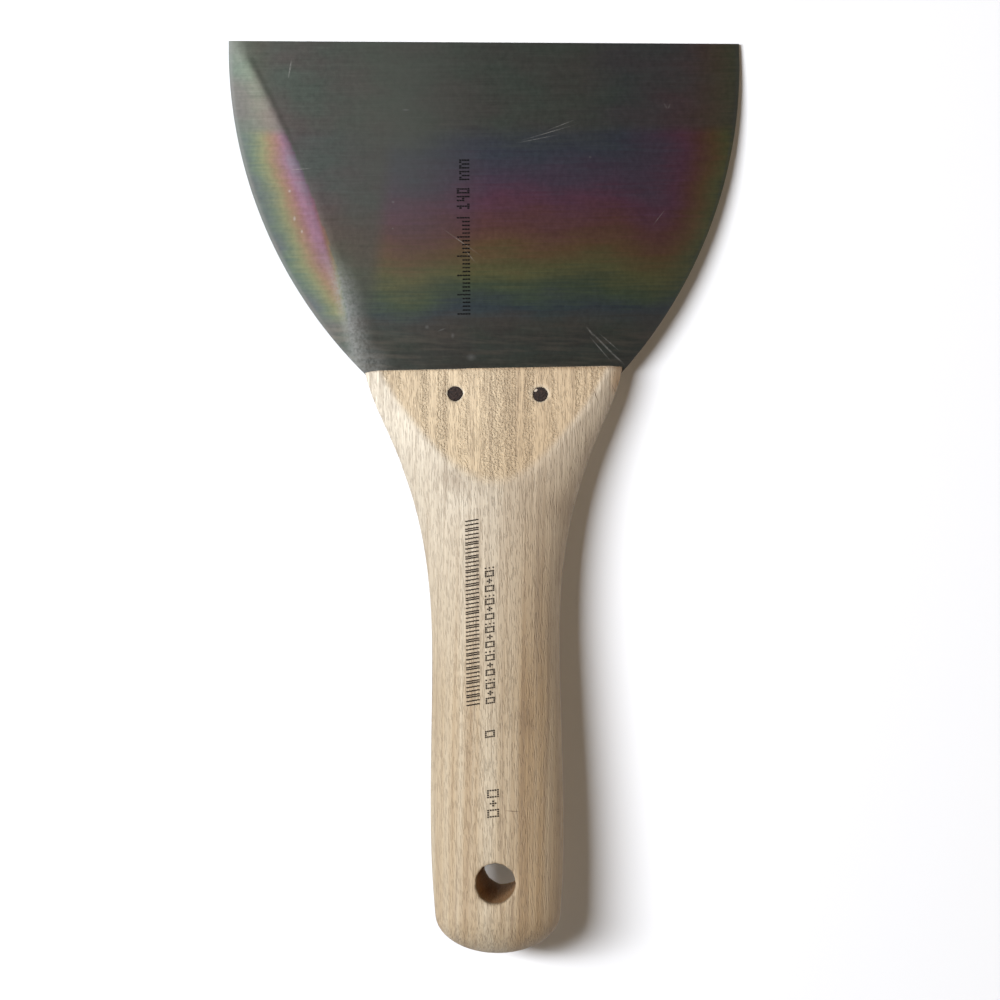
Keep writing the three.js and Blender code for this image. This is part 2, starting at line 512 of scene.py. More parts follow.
@dataclass(frozen=True)
class RawWood:
    """Ring-porous light hardwood, planed and left bare: matt and pale, with short dark pores along it."""

    pale: str = "bcae95"
    warm: str = "a68f6e"
    dark: str = "75604a"
    # Paler tone, painted as light on the handle's upper part and on its lit left flank.
    neck: str = "cabfab"
    planed: str = "d4bb94"
    # Brown painted as shade on the side turned from the light.
    shaded_side_tone: str = "94744c"
    # Pale tone, painted as light on the flanks by the mouth.
    lit_flank_tone: str = "eae0cc"
    resin: str = "d9a45f"
    crack: str = "5b4630"
    bruise: str = "e6dac2"
    # Brown painted as the shadow line at the mouth.
    mouth_shadow: str = "7a5836"
    # Brown painted as shade inside the hang hole.
    bore: str = "8f6c46"
    roughness: float = 0.7
    relief_depth: float = 0.14
    # Where painted highlight makes the left flank paler, below the flats.
    lit_patch: Mark = Mark((-9.5, 121.0, 12.0), (7.0, 8.0, 20.0))
    # The first two patches are painted shade, where the start of the left flat and the right flank turn from the
    # light; the third is a stain on the grip.
    stains_and_shade: tuple[Mark, ...] = (
        Mark((-11.0, 126.5, 11.0), (7.5, 3.6, 20.0), -38),
        Mark((17.5, 119.0, 9.0), (5.5, 6.5, 20.0), 20),
        Mark((8.0, 62.0, 12.0), (3.5, 6.0, 20.0), 10),
    )
    crushed: tuple[Mark, ...] = (
        Mark((-10.4, 150.4, 6.0), (2.9, 2.7, 4.0)),
        Mark((12.4, 150.1, 6.0), (3.4, 3.1, 4.0)),
    )
    orange_corner: Mark = Mark((35.0, 153.5, 6.0), (4.0, 6.0, 20.0))
    hairlines: tuple[Mark, ...] = (
        Mark((27.6, 149.6, 7.0), (3.6, 0.16, 20.0), -69),
        Mark((4.2, 37.8, 12.0), (2.4, 0.16, 20.0), -4),
        Mark((33.0, 151.0, 7.0), (2.6, 0.14, 20.0), -62),
    )

    def material(self, place: Matrix) -> bpy.types.Material:
        """Makes the wood.

        Args:
            place: the bed's matrix.

        Returns:
            The material.
        """
        wood = Surface("bare_planed_hardwood", place)
        # Growth rings are 3 mm apart and their late wood 1.3 mm, and both run nearly the whole length.
        rings = wood.grain((0.3, 0.005, 0.05), 3, turn=1.2)
        lines = wood.grain((0.75, 0.009, 0.12), 2, turn=1.6, offset=3)
        # Single fibres are too fine to show, so they are drawn as bundles 0.4 mm wide and 30 mm long.
        fibre = wood.grain((2.3, 0.035, 0.5), 3, turn=1.0, offset=7)
        # Vessels are 0.26 mm wide, and cut open over 3 mm.
        pores = wood.grain((3.8, 0.34, 0.8), 1, turn=-3.0, offset=31)
        # The plane tore chips 0.7 mm apart, in columns 3 mm wide.
        torn = wood.grain((1.5, 1.5, 0.6), 2, turn=-35, offset=53)
        columns = wood.grain((0.32, 0.006, 0.03), 1, turn=0.8, offset=12)
        on_flat = wood.add("ShaderNodeAttribute", output="Fac", attribute_name="flat")
        across = wood.add("ShaderNodeSeparateXYZ", {0: wood.place}, "X")
        along = wood.add("ShaderNodeSeparateXYZ", {0: wood.place}, "Y")
        pit = wood.add("ShaderNodeMapRange", {0: pores, 1: 0.54, 2: 0.66})
        chips = wood.add("ShaderNodeMapRange", {0: torn, 1: 0.4, 2: 0.62})
        bands = wood.add("ShaderNodeMapRange", {0: columns, 1: 0.46, 2: 0.58})
        tears = wood.add("ShaderNodeMath", {0: chips, 1: bands}, operation="MULTIPLY")
        tears = wood.add("ShaderNodeMath", {0: tears, 1: on_flat}, operation="MULTIPLY")
        tone = wood.coats(
            self.pale,
            Coat(rings, self.warm, span=(0.32, 0.66)),
            # Painted light: the wood is made paler towards the blade and darker towards the butt, as the light
            # falls along the handle.
            Coat(along, self.neck, (0.05, 0.72), (70, 122)),
            Coat(along, self.warm, (0, 0.22), (45, 5)),
            # Painted highlight: the flanks by the mouth are made paler, as the light falls on them.
            Coat(along, self.lit_flank_tone, (0, 0.6), (124, 148)),
            Coat(on_flat, self.planed, (0, 0.72)),
            # Painted shade: darker and browner towards the right side, away from the light.
            Coat(across, self.shaded_side_tone, (0, 0.34), (-1, 7)),
            # Painted highlight: a paler patch on the left flank below the flats, where the light falls.
            Coat(wood.marks([self.lit_patch]), self.neck, (0, 0.6)),
            # Painted shade at the start of the left flat and on the right flank, and one stain on the grip.
            Coat(wood.marks(self.stains_and_shade), self.dark, (0, 0.42)),
            Coat(wood.marks([self.orange_corner]), self.resin, (0, 0.7)),
            Coat(fibre, self.dark, (0.02, 0.32), (0.34, 0.66)),
            Coat(lines, self.dark, (0, 0.3), (0.55, 0.64)),
            Coat(rings, self.dark, (0, 0.2), (0.58, 0.72)),
            Coat(pit, self.dark, (0, 0.24)),
            Coat(tears, self.dark, (0, 0.12)),
            Coat(wood.marks(self.hairlines), self.crack, span=(0, 5 / 6)),
            Coat(wood.marks(self.crushed), self.bruise, (0, 0.7)),
            # Painted shadow: a thin dark line along the handle's end at the mouth, where it meets the blade.
            Coat(along, self.mouth_shadow, (0, 0.35), (156.4, 157.3)),
            # Painted shade: the hang hole's wall is darker from its mouth down.
            Coat("bored", self.bore),
        )
        relief = wood.add("ShaderNodeMath", {0: pit, 1: -0.8, 2: fibre}, operation="MULTIPLY_ADD")
        relief = wood.add("ShaderNodeMath", {0: tears, 1: -1.9, 2: relief}, operation="MULTIPLY_ADD")
        return wood.finish(relief, self.relief_depth, Base_Color=tone, Roughness=self.roughness)


@dataclass(frozen=True)
class TemperedSteel:
    """Cold-rolled spring steel, oil tempered: dark grey, with bands of heat colour that follow its edges."""

    tints: tuple[tuple[float, str], ...] = (
        (0.00, "5a5048"),
        (0.07, "636466"),
        (0.115, "6a645f"),
        (0.18, "52606a"),
        (0.24, "66755a"),
        (0.295, "868354"),
        (0.36, "94704c"),
        (0.425, "8f5a56"),
        (0.50, "8a5470"),
        (0.56, "725a74"),
        (0.65, "5c6072"),
        (0.75, "686b66"),
    )
    bare: str = "6c6861"
    bare_green: str = "666e63"
    # Dark grey painted as shade on the bent wing.
    wing_shade: str = "25272a"
    # Grey painted as the key light's highlight on the left of the blade.
    highlight_grey: str = "83857b"
    worn: str = "828380"
    # Near black painted as shade along the upper crease.
    crease_shade: str = "2a2421"
    smoke: str = "3b3733"
    smear: str = "8f8578"
    rubbing: str = "94948f"
    scratch: str = "aba7a1"
    speck: str = "b8b7b3"
    roughness: float = 0.36
    relief_depth: float = 0.012
    anisotropy: float = 0.7
    # Where the painted highlight lies, on the left of the blade.
    clear: Mark = Mark((-24.0, 224.0, 0.5), (24.0, 62.0, 9.0))
    scratches: tuple[Mark, ...] = (
        Mark((30.6, 163.6, 0.5), (7.4, 0.34, 0.9), -46),
        Mark((29.2, 162.9, 0.5), (5.0, 0.22, 0.9), -50),
        Mark((31.6, 164.8, 0.5), (4.2, 0.20, 0.9), -42),
        Mark((26.4, 167.8, 0.5), (2.0, 0.30, 0.9), -52),
        Mark((33.6, 160.6, 0.5), (3.2, 0.30, 0.9), -44),
        Mark((15.6, 222.8, 0.5), (8.6, 0.17, 0.9), 16),
        Mark((12.8, 221.1, 0.5), (6.5, 0.15, 0.9), 11),
        Mark((19.2, 224.9, 0.5), (4.8, 0.14, 0.9), 21),
        Mark((-8.4, 192.7, 0.5), (7.6, 0.15, 0.9), -36),
        Mark((-6.4, 189.2, 0.5), (3.4, 0.15, 0.9), -52),
        Mark((-55.1, 241.0, 0.5), (2.9, 0.28, 3.0), 80),
        Mark((-52.2, 213.2, 0.5), (3.4, 0.14, 3.0), 4),
        Mark((47.7, 229.9, 0.5), (1.1, 0.28, 0.9), -60),
        Mark((48.7, 229.8, 0.5), (0.9, 0.24, 0.9), 70),
        Mark((45.5, 199.0, 0.5), (3.2, 0.16, 0.9), 52),
    )
    specks: tuple[Mark, ...] = (
        Mark((26.9, 215.9, 0.5), (0.45, 0.45, 0.9)),
        Mark((-27.0, 203.9, 0.5), (0.5, 0.45, 0.9)),
        Mark((-27.2, 196.6, 0.5), (0.35, 0.3, 0.9)),
        Mark((-55.3, 207.2, 0.5), (0.5, 0.5, 3.0)),
        Mark((-54.0, 199.6, 0.5), (0.5, 0.9, 3.0)),
        Mark((-52.0, 196.0, 0.5), (0.4, 0.6, 3.0)),
        Mark((-23.4, 229.4, 0.5), (1.2, 0.35, 0.9)),
        Mark((-11.0, 167.0, 0.5), (0.6, 0.9, 0.9)),
        Mark((-14.0, 168.6, 0.5), (1.4, 0.3, 0.9), 20),
        Mark((-18.0, 169.4, 0.5), (0.7, 0.7, 0.9)),
        Mark((-6.0, 161.0, 0.5), (1.6, 1.2, 0.9)),
    )

    def material(self, place: Matrix) -> bpy.types.Material:
        """Makes the steel.

        Args:
            place: the bed's matrix.

        Returns:
            The material.
        """
        steel = Surface("oil_tempered_rolled_steel", place)
        # Rolling lines are under 0.1 mm apart, so they are drawn as coarse as they need to show: 0.8 and 0.3 mm.
        roll = steel.grain((0.06, 1.3, 1.0), 3)
        fine = steel.grain((0.18, 3.6, 1.0), 2, offset=5)
        # The oil dried in clouds 10 to 20 mm across, and left the scale mottled every 1.2 mm.
        cloud = steel.grain((0.05, 0.09, 0.05), 3, offset=9)
        mottle = steel.grain((0.9, 0.7, 0.9), 4, offset=23)
        # Rubbing leaves scuffs of 0.6 mm, and the clamp smears 10 mm long and 1.2 mm wide.
        grit = steel.grain((1.6, 1.6, 1.0), 3, offset=17)
        smears = steel.grain((0.1, 0.8, 1.0), 3, turn=3, offset=41)
        heat = steel.add("ShaderNodeAttribute", output="Fac", attribute_name="tempering")
        for uneven, by in ((roll, 0.03), (cloud, 0.05)):
            shift = steel.add("ShaderNodeMapRange", {0: uneven, 1: GRAIN[0], 2: GRAIN[1], 3: -by, 4: by})
            heat = steel.add("ShaderNodeMath", {0: heat, 1: shift}, operation="ADD")
        heat = steel.add("ShaderNodeMath", {0: heat, 1: 0.5}, operation="MULTIPLY")
        tint = steel.add("ShaderNodeValToRGB", {0: heat}, stops=self.tints)
        streak = steel.scaled({roll: (1.1, 1.28), fine: (0.96, 1.04), mottle: (0.9, 1.1)})
        grey = steel.add("ShaderNodeCombineColor", {0: streak, 1: streak, 2: streak})
        foot, rub = (
            steel.add("ShaderNodeAttribute", output="Fac", attribute_name=name) for name in ("foot", "rub")
        )
        smeared = steel.add("ShaderNodeMapRange", {0: smears, 1: 0.45, 2: 0.68, 3: 0, 4: 0.42})
        smeared = steel.add("ShaderNodeMath", {0: foot, 1: smeared}, operation="MULTIPLY")
        rubbed = steel.add("ShaderNodeMapRange", {0: grit, 1: 0.35, 2: 0.65, 3: 0.3, 4: 0.8})
        rubbed = steel.add("ShaderNodeMath", {0: rub, 1: rubbed}, operation="MULTIPLY")
        scored = steel.add("ShaderNodeMapRange", {0: grit, 1: 0.3, 2: 0.6, 3: 0.3, 4: 1})
        scored = steel.add("ShaderNodeMath", {0: steel.marks(self.scratches), 1: scored}, operation="MULTIPLY")
        tone = steel.coats(self.bare, Coat(cloud, self.bare_green, span=(0.38, 0.62)), Coat("film", tint))
        tone = steel.add("ShaderNodeMix", {0: 1.0, 6: tone, 7: grey}, 2, data_type="RGBA", blend_type="MULTIPLY")
        # A broad patch on the left is painted lighter as a highlight, the bent wing and the upper crease are
        # painted darker as shade, and the sheet is worn bright along its sides.
        tone = steel.coats(
            tone,
            # Painted shade: the bent wing is darkened.
            Coat("wing", self.wing_shade, (0, 0.6)),
            # Painted highlight: the left of the blade is made lighter where the key light's reflection falls.
            Coat(steel.marks([self.clear]), self.highlight_grey, (0, 0.6)),
            Coat("rim", self.worn, (0, 0.4)),
            # Painted shade: a dark line along the upper crease.
            Coat("fold", self.crease_shade, (0, 0.45)),
            Coat(foot, self.smoke, (0, 0.3)),
            Coat(smeared, self.smear),
            Coat(rubbed, self.rubbing),
            Coat(scored, self.scratch, (0, 0.85)),
            Coat(steel.marks(self.specks), self.speck, (0, 0.4)),
        )
        rough = steel.add("ShaderNodeMath", {0: rubbed, 1: 0.12, 2: self.roughness}, operation="MULTIPLY_ADD")
        rough = steel.add("ShaderNodeMath", {0: scored, 1: 0.15, 2: rough}, operation="MULTIPLY_ADD")
        rolled = steel.add("ShaderNodeTangent", direction_type="UV_MAP", uv_map="rolling")
        relief = steel.add("ShaderNodeMath", {0: roll, 1: fine}, operation="ADD")
        return steel.finish(
            relief,
            self.relief_depth,
            Base_Color=tone,
            Metallic=1.0,
            Roughness=rough,
            Anisotropic=self.anisotropy,
            Tangent=rolled,
        )


@dataclass(frozen=True)
class CutSteel:
    """Mild steel wire, sheared off and browned: dark and rough, with a small bright spot on one pin."""

    colour: str = "211612"
    browned: str = "3a2a22"
    bright: str = "c4b6a4"
    relief_depth: float = 0.4
    bright_spot: Mark = Mark((11.4, 151.1, 7.0), (0.75, 0.5, 20.0), 30)

    def material(self, place: Matrix) -> bpy.types.Material:
        """Makes the cut steel.

        Args:
            place: the bed's matrix.

        Returns:
            The material.
        """
        steel = Surface("sheared_wire_steel", place)
        # The shear left pits 0.6 mm across.
        pits = steel.grain((1.8, 1.8, 1.8), 3)
        tone = steel.coats(
            self.colour,
            Coat(pits, self.browned, span=(0.45, 0.65)),
            # A small bright spot at the upper left of the right pin.
            Coat(steel.marks([self.bright_spot]), self.bright, span=(0.2, 0.45)),
        )
        return steel.finish(pits, self.relief_depth, Base_Color=tone, Metallic=0.3, Roughness=0.75)


@dataclass(frozen=True)
class Ink:
    """Black jet ink, dried matt in the surface."""

    colour: str = "221c17"
    worn: str = "4d4136"

    def material(self, place: Matrix) -> bpy.types.Material:
        """Makes the ink.

        Args:
            place: the bed's matrix.

        Returns:
            The material.
        """
        ink = Surface("dried_jet_ink", place)
        # It wore thin in spots 1.4 mm across.
        faded = ink.grain((0.7, 0.7, 0.7), 2)
        tone = ink.coats(self.colour, Coat(faded, self.worn, (0, 0.5), (0.45, 0.7)))
        return ink.finish(Base_Color=tone, Roughness=0.8, Specular_IOR_Level=0.1)


# ---------------------------------------------------------------- the sub-assemblies


@dataclass
class Handle:
    """One-piece wooden handle: oval grip, domed butt, flared shoulders, planed flats and a saw kerf.

    Lengths are in millimetres from the butt. Each station is a place, the half width there and its slope.
    """

    length: float = 157.5
    half_thickness: float = 12.0
    butt_depth: float = 10.8
    butt_half_width: float = 16.8
    mouth_slope: float = math.radians(0.74)
    stations: tuple[tuple[float, float, float], ...] = (
        (10.8, 16.8, 0.09),
        (36.5, 17.85, 0.0),
        (82.0, 17.2, 0.0),
        (124.0, 22.6, 0.30),
        (145.5, 31.2, 0.46),
        (157.5, 35.3, 0.24),
    )
    flat_start: float = 123.8
    mouth_half_thickness: float = 5.3
    flat_dip: float = 0.5
    kerf: float = 1.15
    kerf_bottom: float = 131.6
    hang_hole: tuple[float, float] = (-0.7, 18.4)
    hang_hole_radius: float = 5.3
    hang_hole_lean: tuple[float, float] = (math.radians(13.0), math.radians(-6.0))
    hole_clearance: float = 0.12
    pin_hole_wander: float = 0.2
    hang_hole_wander: float = 0.3
    over_mouth: float = 1.5
    full_plane: float = 1.2
    around: int = 240
    dome_step: float = 0.06
    body_pitch: float = 2.0
    neck_pitch: float = 0.7
    voxel: float = 0.53
    rounding: int = 5

    def half_width(self, y: float) -> float:
        """Half the handle's width at a distance from the butt.

        Args:
            y: the distance, in millimetres.

        Returns:
            The half width, in millimetres.
        """
        if y < self.butt_depth:
            return self.butt_half_width * math.sqrt(1 - (1 - y / self.butt_depth) ** 2)
        for (y0, w0, m0), (y1, w1, m1) in zip(self.stations, self.stations[1:]):
            if y <= y1:
                t = (y - y0) / (y1 - y0)
                ease = t * t * (3 - 2 * t)
                return w0 + (w1 - w0) * ease + (y1 - y0) * t * (1 - t) * (m0 * (1 - t) - m1 * t)
        return self.stations[-1][1] + self.stations[-1][2] * (y - self.length)

    def flat(self, y: float) -> float:
        """Half the handle's thickness on its planed flats.

        Args:
            y: the distance from the butt, in millimetres.

        Returns:
            The half thickness, in millimetres.
        """
        t = (y - self.flat_start) / (self.length - self.flat_start)
        drop = (self.mouth_half_thickness - self.half_thickness) * t
        return self.half_thickness + drop - 4 * self.flat_dip * t * (1 - t)

    def front(self, x: float, y: float) -> tuple[float, float]:
        """Height of the grip's front at a place, and its slope across the tool.

        Args:
            x: across the tool, in millimetres.
            y: the distance from the butt.

        Returns:
            The height in millimetres and the slope's angle in radians.
        """
        section = self.section(y)
        across = max(-0.99, min(0.99, x / section.half_width))
        rise = math.sqrt(1 - across * across)
        slope = -section.half_thickness * across / (section.half_width * rise)
        return section.half_thickness * rise, math.atan(slope)

    def section(self, y: float) -> Section:
        """The oval section at a distance from the butt, before the flats are planed."""
        width = self.half_width(y)
        return Section(y, width, self.half_thickness * min(1.0, width / self.butt_half_width))

    def blank(self) -> bpy.types.Object:
        """The shaped blank: a disc pulled through oval sections and trimmed at the mouth.

        Returns:
            The piece.
        """
        dome = [self.butt_depth * (1 - math.cos(a)) for a in steps(self.dome_step, math.pi / 2, self.dome_step)]
        body = list(steps(self.butt_depth, self.flat_start, self.body_pitch))[1:]
        neck = list(steps(self.flat_start, self.length + self.over_mouth, self.neck_pitch))[1:]
        sections = [self.section(y) for y in dome + body + neck]
        first = sections[0]
        bpy.ops.object.select_all(action="DESELECT")
        bpy.ops.mesh.primitive_circle_add(
            vertices=self.around,
            radius=1,
            fill_type="TRIFAN",
            location=(0, first.y, 0),
            rotation=(math.pi / 2, 0, 0),
        )
        bpy.context.object.scale = (first.half_width, first.half_thickness, 1)
        piece = named("handle_wood")
        loft(piece, sections)
        self.plane_flats(piece, neck)
        slope = (-math.sin(self.mouth_slope), math.cos(self.mouth_slope), 0)
        trim(piece, (0, self.length, 0), slope)
        return piece

    def plane_flats(self, piece: bpy.types.Object, rings: Sequence[float]) -> None:
        """Presses each ring of the neck flat where it stands above the planed flats, front and back.

        Args:
            piece: the lofted blank.
            rings: the rings' distances from the butt.
        """
        only(piece)
        bpy.ops.object.mode_set(mode="EDIT")
        for y in rings:
            level = self.flat(y)
            for side in (1, -1):
                if pick(piece, lambda co: abs(co.y - y) < 1e-3 and co.z * side > level):
                    bpy.ops.transform.resize(value=(1, 1, 0), center_override=(0, y, level * side))
        bpy.ops.object.mode_set(mode="OBJECT")

    def saw(self, piece: bpy.types.Object, pins: Sequence["Pin"]) -> None:
        """Cuts the kerf, the pin holes and the hang hole.

        Args:
            piece: the planed blank.
            pins: the pins that need holes.
        """
        reach = self.length + 5
        middle = (self.kerf_bottom + reach) / 2
        bpy.ops.mesh.primitive_cube_add(
            size=1, location=(0, middle, 0), scale=(90, reach - self.kerf_bottom, self.kerf)
        )
        cut(piece, named("kerf_cutter"))
        for pin in pins:
            cut(piece, drill(pin.x, pin.y, pin.radius + self.hole_clearance, self.pin_hole_wander))
        hole = drill(
            *self.hang_hole, self.hang_hole_radius, self.hang_hole_wander, self.hang_hole_lean, self.half_thickness
        )
        cut(piece, hole)

    def planed(self, co: Vector) -> float:
        """How deep a point of the flats was planed below the oval, up to 1 at its middle."""
        if co.y < self.flat_start or abs(co.z) < self.flat(co.y) - 0.3:
            return 0.0
        return ramp(self.front(co.x, co.y)[0] - self.flat(co.y), 0.0, self.full_plane)

    def bored(self, co: Vector) -> float:
        """How deep a point lies in the hang hole, for its painted shade: 0 at its mouth, 1 from 3 mm down."""
        x, y = self.hang_hole
        if math.hypot(co.x - x, co.y - y) > self.hang_hole_radius + 4:
            return 0.0
        return ramp(self.front(co.x, co.y)[0] - abs(co.z), 0.3, 3.0)

    def build(self, pins: Sequence["Pin"]) -> bpy.types.Object:
        """Models the handle.

        Args:
            pins: the pins that pass through it.

        Returns:
            The piece, in the tool's frame.
        """
        piece = self.blank()
        self.saw(piece, pins)
        use_modifier(piece, "REMESH", mode="VOXEL", voxel_size=self.voxel, adaptivity=0)
        use_modifier(piece, "SMOOTH", factor=0.5, iterations=self.rounding)
        only(piece)
        bpy.ops.object.shade_smooth()
        keep(piece, "flat", self.planed)
        keep(piece, "bored", self.bored)
        return piece


def drill(
    x: float,
    y: float,
    radius: float,
    ragged: float = 0.0,
    lean: tuple[float, float] = (0.0, 0.0),
    top: float = 0.0,
) -> bpy.types.Object:
    """Round cutter through the whole tool, front to back.

    Args:
        x: its axis, in millimetres.
        y: its axis, in millimetres.
        radius: in millimetres.
        ragged: how far its wall wanders, in millimetres.
        lean: its turn about X and Y.
        top: the height that it leans about.

    Returns:
        The cutter.
    """
    bpy.ops.object.select_all(action="DESELECT")
    bpy.ops.mesh.primitive_cylinder_add(vertices=44, radius=radius, depth=50)
    cutter = named("drill_cutter")
    bpy.ops.object.mode_set(mode="EDIT")
    bpy.ops.mesh.select_all(action="SELECT")
    bpy.ops.transform.vertex_random(offset=ragged, uniform=0.0, normal=0.0, seed=5)
    bpy.ops.transform.translate(value=(0, 0, -top))
    bpy.ops.object.mode_set(mode="OBJECT")
    cutter.location = (x, y, top)
    cutter.rotation_euler = (*lean, 0)
    bpy.ops.object.transform_apply(location=True, rotation=True, scale=True)
    return cutter


@dataclass
class Blade:
    """Thin sheet of dark spring steel with arc sides and a tang, its left wing bent back at a crease.

    Lengths are in millimetres. The sides are arcs of one radius about two centres. The crease's x is a start, a
    lean and a bow above the root. The heat field rises from the foot and in from the sides, each side with its
    own start and slope over its band, and the film is where its colours show.
    """

    thickness: float = 1.0
    side_radius: float = 127.7
    left_centre: tuple[float, float] = (55.8, 246.5)
    right_centre: tuple[float, float] = (-59.6, 242.4)
    edge_left: float = 249.0
    edge_right: float = 247.0
    tang_left: float = -19.0
    tang_right: float = 21.0
    tang_end: float = 132.0
    crease_curve: tuple[float, float, float] = (-35.5, -0.19, -0.0019)
    root: float = 157.3
    wing_bend: float = math.radians(3)
    bend_width: float = 2.2
    columns: int = 230
    pitch: float = 0.65
    heat_start: float = 158.0
    heat_reach: float = 46.0
    heat_lobes: tuple[tuple[float, float, float], ...] = ((-24.0, 10.0, 0.09), (45.0, 8.0, 0.07))
    wing_heat: float = 0.28
    left_heat: tuple[float, float, float] = (0.38, 0.0125, 0.0032)
    right_heat: tuple[float, float] = (0.53, 0.034)
    inner_heat: float = 0.018
    left_band: float = 12.5
    right_band: float = 13.0
    heat_blend: float = 0.15
    most_heat: float = 2.0
    film_top: tuple[float, float] = (225.4, 221.6)
    film_foot: tuple[float, float] = (168.0, 176.0)
    foot_film: float = 0.25
    film_left: tuple[float, float] = (-34.0, -28.0)
    film_lean: float = 0.12
    film_level: float = 190.0
    corner: tuple[float, float] = (-35.0, 158.0)
    map_size: float = 150.0

    def side(self, sign: int, y: float) -> float:
        """X of one side of the blade.

        Args:
            sign: -1 for the left side, 1 for the right.
            y: height up the tool, in millimetres.

        Returns:
            The side's x, in millimetres.
        """
        x, centre = self.left_centre if sign < 0 else self.right_centre
        arc = x + sign * math.sqrt(self.side_radius**2 - (y - centre) ** 2)
        return min(arc, self.tang_left) if sign < 0 else max(arc, self.tang_right)

    def section(self, y: float) -> Section:
        """The sheet's section at one height."""
        left, right = self.side(-1, y), self.side(1, y)
        return Section(y, (right - left) / 2, self.thickness / 2, (left + right) / 2)

    def crease(self, y: float) -> float:
        """X of the crease at a height, in millimetres."""
        start, lean, bow = self.crease_curve
        rise = y - self.root
        return start + lean * rise + bow * rise * rise

    def beyond_crease(self, co: Vector) -> float:
        """How far a point lies beyond the crease, on the bent wing.

        Args:
            co: the point, in the tool's frame.

        Returns:
            The distance along X, in millimetres, or 0, softened over a couple of millimetres.
        """
        beyond = self.crease(co.y) - co.x
        soft = self.bend_width
        return max(0.0, beyond + soft) ** 2 / (4 * soft) if beyond < soft else beyond

    def margins(self, co: Vector) -> tuple[float, float]:
        """How far a point lies in from the left side and from the right."""
        return co.x - self.side(-1, co.y), self.side(1, co.y) - co.x

    def heat(self, co: Vector) -> float:
        """How hot a point was when it was tempered: 0 by the handle and the sides, 1 where it turns purple.

        Args:
            co: the point, in the tool's frame.

        Returns:
            The heat, up to about 2.
        """
        low = (co.y - self.heat_start) / self.heat_reach
        low += sum(rise * math.exp(-(((co.x - x) / width) ** 2)) for x, width, rise in self.heat_lobes)
        low += self.wing_heat * ramp(self.crease(co.y) - co.x, 0.0, 2.0)
        left, right = self.margins(co)
        near = min(left, self.left_band)
        start, slope, bow = self.left_heat
        sides = start + slope * near + bow * near * near + self.inner_heat * (left - near)
        start, slope = self.right_heat
        inner = self.inner_heat * max(0.0, right - self.right_band)
        sides = min(sides, start + slope * min(right, self.right_band) + inner)
        soft = max(0.0, self.heat_blend - abs(low - sides)) ** 2 / (4 * self.heat_blend)
        return min(self.most_heat, max(0.0, min(low, sides) - soft))

    def film(self, co: Vector) -> float:
        """How strongly a point shows its heat colours.

        Args:
            co: the point, in the tool's frame.

        Returns:
            From 0 to 1.
        """
        below_top = ramp(co.y, *self.film_top)
        foot = self.foot_film + (1 - self.foot_film) * ramp(co.y, *self.film_foot)
        if co.x < self.crease(co.y):
            return (0.08 + 0.47 * below_top) * foot * ramp(self.margins(co)[0], 0.4, 2.0)
        shift = self.film_lean * (co.y - self.film_level)
        tinted = 0.15 + 0.6 * ramp(co.x, self.film_left[0] + shift, self.film_left[1] + shift)
        return tinted * (0.35 + 0.65 * below_top) * foot

    def rim(self, co: Vector) -> float:
        """How near a point is to either side, where the sheet is worn bright: from 0 to 1."""
        left, right = self.margins(co)
        return max(ramp(min(left, right), 1.5, 0.4), 0.45 * ramp(right, 10.0, 0.0) * ramp(co.y, 225, 190))

    def fold(self, co: Vector) -> float:
        """How far a point lies on the dark line of painted shade along the upper part of the crease: from 0 to 1.
        """
        away = abs(self.crease(co.y) + 0.5 - co.x)
        return ramp(away, 1.7, 0.1) * ramp(co.y, 190, 232) * ramp(co.y, 247, 243)

    def wing(self, co: Vector) -> float:
        """How far a point lies on the bent wing, where the sheet is painted darker as shade: from 0 to 1."""
        return ramp(self.beyond_crease(co), 0.5, 4.0)

    def foot(self, co: Vector) -> float:
        """How much the handle's clamp smeared a point of the blade's foot: from 0 to 1."""
        return ramp(co.y, 174.0, 165.0)

    def rub(self, co: Vector) -> float:
        """How far a point is rubbed grey, along the crease's lower part to the handle's corner: from 0 to 1."""
        away = co.x - self.crease(co.y)
        band = ramp(away, -4.0, -0.5) * ramp(away, 6.0, 0.5)
        corner = ramp((co.xy - Vector(self.corner)).length, 9.0, 2.0)
        return max(band * ramp(co.y, 192, 180), corner)

    def build(self) -> bpy.types.Object:
        """Models the blade.

        Returns:
            The piece, in the tool's frame.
        """
        sections = [self.section(y) for y in steps(self.tang_end, self.edge_left + 0.75, self.pitch)]
        first = sections[0]
        bpy.ops.object.select_all(action="DESELECT")
        bpy.ops.mesh.primitive_grid_add(
            x_subdivisions=self.columns,
            y_subdivisions=1,
            size=2,
            location=(first.x, first.y, 0),
            rotation=(math.pi / 2, 0, 0),
        )
        bpy.context.object.scale = (first.half_width, first.half_thickness, 1)
        piece = named("blade_sheet")
        loft(piece, sections)
        middle = (self.edge_left + self.edge_right) / 2
        span = self.side(1, self.edge_right) - self.side(-1, self.edge_left)
        slope = math.atan2(self.edge_left - self.edge_right, span)
        centre = (self.side(-1, self.edge_left) + self.side(1, self.edge_right)) / 2
        trim(piece, (centre, middle, 0), (math.sin(slope), math.cos(slope), 0))
        for value in (self.film, self.rim, self.fold, self.rub, self.foot, self.wing):
            keep(piece, value.__name__, value)
        keep(piece, "tempering", self.heat)
        lay_uv(piece, "rolling", self.map_size)
        self.bend_wing(piece)
        smooth(piece)
        return piece

